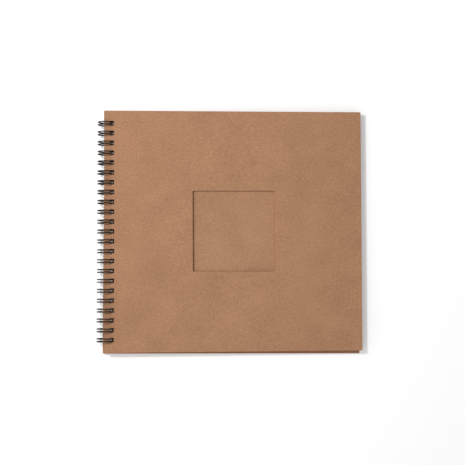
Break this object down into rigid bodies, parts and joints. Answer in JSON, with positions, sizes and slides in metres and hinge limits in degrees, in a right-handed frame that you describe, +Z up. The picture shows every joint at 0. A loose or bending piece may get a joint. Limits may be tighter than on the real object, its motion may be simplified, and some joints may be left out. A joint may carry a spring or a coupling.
{
  "type": "scrapbook album",
  "caption": "Square wire-bound scrapbook album in kraft board, with a recessed window in its front cover and card leaves on double loops.",
  "frame": {"origin": "middle of the footprint at table level, the album lying closed on its back", "axes": "+Z up out of the front cover, +Y towards the head, -X towards the spine; the stack is tipped 0.6 degrees because the rings lift the spine off the table"},
  "size_m": [0.3456, 0.3164, 0.021],
  "materials": {
    "cover_board": "uncoated kraft board, matt, with fine fibre flecks",
    "page_card": "uncoated kraft card, matt",
    "coated_wire": "black nylon-coated steel, satin"
  },
  "bodies": {
    "back_cover": {"back_board": "cover_board", "twin_loop_wire": "coated_wire"},
    "page_01": {"page_01": "page_card"},
    "page_02": {"page_02": "page_card"},
    "page_03": {"page_03": "page_card"},
    "page_04": {"page_04": "page_card"},
    "page_05": {"page_05": "page_card"},
    "page_06": {"page_06": "page_card"},
    "page_07": {"page_07": "page_card"},
    "page_08": {"page_08": "page_card"},
    "page_09": {"page_09": "page_card"},
    "page_10": {"page_10": "page_card"},
    "page_11": {"page_11": "page_card"},
    "page_12": {"page_12": "page_card"},
    "page_13": {"page_13": "page_card"},
    "page_14": {"page_14": "page_card"},
    "page_15": {"page_15": "page_card"},
    "page_16": {"page_16": "page_card"},
    "page_17": {"page_17": "page_card"},
    "page_18": {"page_18": "page_card"},
    "page_19": {"page_19": "page_card"},
    "page_20": {"page_20": "page_card"},
    "front_cover": {"front_window_board": "cover_board", "front_backing_card": "cover_board"}
  },
  "joints": [
    {"name": "turn_page_01", "type": "hinge", "parent": "back_cover", "child": "page_01", "pos_m": [-0.16227, -0.0002, 0.0105], "axis": [0, -1, 0], "range_deg": [0, 180]},
    {"name": "turn_page_02", "type": "hinge", "parent": "page_01", "child": "page_02", "pos_m": [-0.16227, -0.0002, 0.0105], "axis": [0, -1, 0], "range_deg": [0, 180]},
    {"name": "turn_page_03", "type": "hinge", "parent": "page_02", "child": "page_03", "pos_m": [-0.16227, -0.0002, 0.0105], "axis": [0, -1, 0], "range_deg": [0, 180]},
    {"name": "turn_page_04", "type": "hinge", "parent": "page_03", "child": "page_04", "pos_m": [-0.16227, -0.0002, 0.0105], "axis": [0, -1, 0], "range_deg": [0, 180]},
    {"name": "turn_page_05", "type": "hinge", "parent": "page_04", "child": "page_05", "pos_m": [-0.16227, -0.0002, 0.0105], "axis": [0, -1, 0], "range_deg": [0, 180]},
    {"name": "turn_page_06", "type": "hinge", "parent": "page_05", "child": "page_06", "pos_m": [-0.16227, -0.0002, 0.0105], "axis": [0, -1, 0], "range_deg": [0, 180]},
    {"name": "turn_page_07", "type": "hinge", "parent": "page_06", "child": "page_07", "pos_m": [-0.16227, -0.0002, 0.0105], "axis": [0, -1, 0], "range_deg": [0, 180]},
    {"name": "turn_page_08", "type": "hinge", "parent": "page_07", "child": "page_08", "pos_m": [-0.16227, -0.0002, 0.0105], "axis": [0, -1, 0], "range_deg": [0, 180]},
    {"name": "turn_page_09", "type": "hinge", "parent": "page_08", "child": "page_09", "pos_m": [-0.16227, -0.0002, 0.0105], "axis": [0, -1, 0], "range_deg": [0, 180]},
    {"name": "turn_page_10", "type": "hinge", "parent": "page_09", "child": "page_10", "pos_m": [-0.16227, -0.0002, 0.0105], "axis": [0, -1, 0], "range_deg": [0, 180]},
    {"name": "turn_page_11", "type": "hinge", "parent": "page_10", "child": "page_11", "pos_m": [-0.16227, -0.0002, 0.0105], "axis": [0, -1, 0], "range_deg": [0, 180]},
    {"name": "turn_page_12", "type": "hinge", "parent": "page_11", "child": "page_12", "pos_m": [-0.16227, -0.0002, 0.0105], "axis": [0, -1, 0], "range_deg": [0, 180]},
    {"name": "turn_page_13", "type": "hinge", "parent": "page_12", "child": "page_13", "pos_m": [-0.16227, -0.0002, 0.0105], "axis": [0, -1, 0], "range_deg": [0, 180]},
    {"name": "turn_page_14", "type": "hinge", "parent": "page_13", "child": "page_14", "pos_m": [-0.16227, -0.0002, 0.0105], "axis": [0, -1, 0], "range_deg": [0, 180]},
    {"name": "turn_page_15", "type": "hinge", "parent": "page_14", "child": "page_15", "pos_m": [-0.16227, -0.0002, 0.0105], "axis": [0, -1, 0], "range_deg": [0, 180]},
    {"name": "turn_page_16", "type": "hinge", "parent": "page_15", "child": "page_16", "pos_m": [-0.16227, -0.0002, 0.0105], "axis": [0, -1, 0], "range_deg": [0, 180]},
    {"name": "turn_page_17", "type": "hinge", "parent": "page_16", "child": "page_17", "pos_m": [-0.16227, -0.0002, 0.0105], "axis": [0, -1, 0], "range_deg": [0, 180]},
    {"name": "turn_page_18", "type": "hinge", "parent": "page_17", "child": "page_18", "pos_m": [-0.16227, -0.0002, 0.0105], "axis": [0, -1, 0], "range_deg": [0, 180]},
    {"name": "turn_page_19", "type": "hinge", "parent": "page_18", "child": "page_19", "pos_m": [-0.16227, -0.0002, 0.0105], "axis": [0, -1, 0], "range_deg": [0, 180]},
    {"name": "turn_page_20", "type": "hinge", "parent": "page_19", "child": "page_20", "pos_m": [-0.16227, -0.0002, 0.0105], "axis": [0, -1, 0], "range_deg": [0, 180]},
    {"name": "open_front_cover", "type": "hinge", "parent": "page_20", "child": "front_cover", "pos_m": [-0.16227, -0.0002, 0.0105], "axis": [0, -1, 0], "range_deg": [0, 181]}
  ]
}
